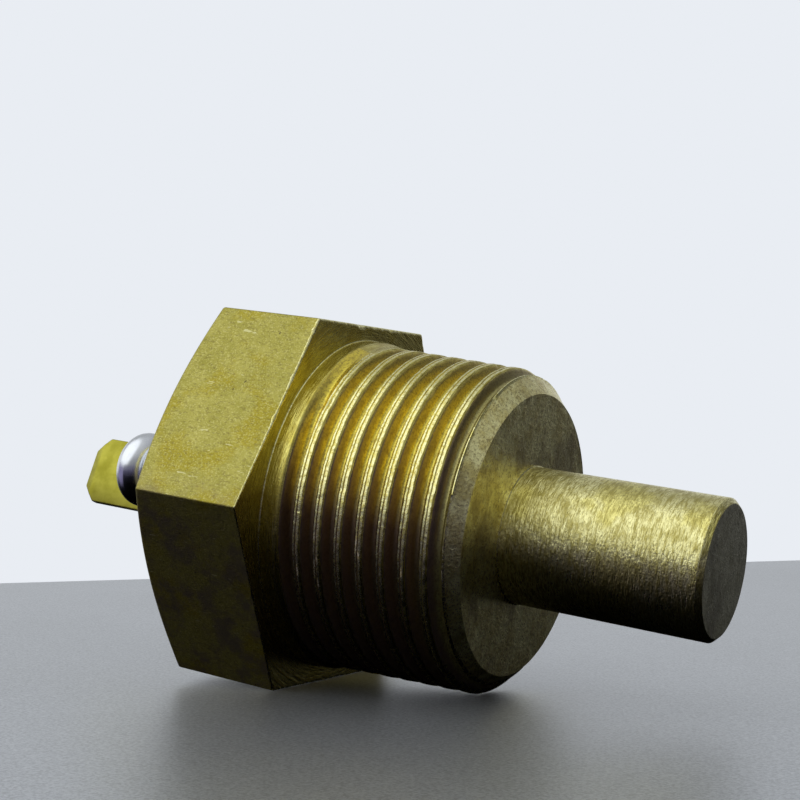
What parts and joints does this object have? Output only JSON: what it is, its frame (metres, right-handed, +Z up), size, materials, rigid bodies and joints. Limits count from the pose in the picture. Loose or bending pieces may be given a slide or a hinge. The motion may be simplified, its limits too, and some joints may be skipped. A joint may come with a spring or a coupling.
{
  "type": "temperature switch",
  "caption": "Screw-in snap-disc temperature switch: brass hexagon plug with taper pipe thread, closed sensing stem and a bent blade terminal.",
  "frame": {"origin": "centre of the hexagon's front shoulder plane, on the thread axis", "axes": "+X along the axis towards the sensing stem's closed tip, +Z up and square to two flats of the hexagon"},
  "size_m": [0.064, 0.0346, 0.03],
  "materials": {
    "brass": "machined brass, dulled and lightly scratched",
    "brass_inner": "clean machined brass",
    "terminal_brass": "stamped brass sheet",
    "nickel_plate": "bright nickel plate",
    "bimetal": "rolled bimetal strip",
    "steel": "zinc-plated steel",
    "spring_copper": "rolled copper-alloy spring strip",
    "silver": "silver contact metal",
    "ceramic": "fired steatite ceramic, matt",
    "phenolic": "moulded brown phenolic, semi-gloss",
    "resin": "cast epoxy resin",
    "fibre": "pressed red fibre sheet",
    "rubber": "moulded nitrile rubber"
  },
  "bodies": {
    "housing": {"body": "brass", "disc_retainer": "brass_inner", "rod_guide": "ceramic", "ground_ring": "brass_inner", "leaf_root": "spring_copper", "leaf_clamp": "steel", "leaf_rivets": "brass_inner", "spacer_sleeve": "brass_inner", "fixed_contact": "silver", "inner_washer": "brass_inner", "terminal_base": "phenolic", "base_seal": "rubber", "base_gasket": "fibre", "crimp_washer": "steel", "sealing_compound": "resin", "post_seal": "rubber", "terminal_blade": "terminal_brass", "rivet_washer": "nickel_plate", "terminal_rivet": "nickel_plate"},
    "snap_disc": {"bimetal_disc": "bimetal"},
    "rod": {"push_rod": "ceramic"},
    "leaf": {"contact_leaf": "spring_copper", "moving_contact": "silver"}
  },
  "joints": [
    {"name": "rod_slide", "type": "slide", "parent": "housing", "child": "rod", "axis": [-1, 0, 0], "range_m": [0, 0.0004], "stiffness_N_per_m": 50, "springref_m": -0.0005},
    {"name": "disc_snap", "type": "slide", "parent": "housing", "child": "snap_disc", "axis": [-1, 0, 0], "range_m": [0, 0.0004]},
    {"name": "leaf_bend", "type": "hinge", "parent": "housing", "child": "leaf", "pos_m": [0.01137, 0, -0.0063], "axis": [0, -1, 0], "range_deg": [0, 3.7]}
  ],
  "couplings": [
    {"joint": "disc_snap", "follows": "rod_slide", "ratio": 1},
    {"joint": "leaf_bend", "follows": "rod_slide", "rad_per_m": 158.73}
  ]
}
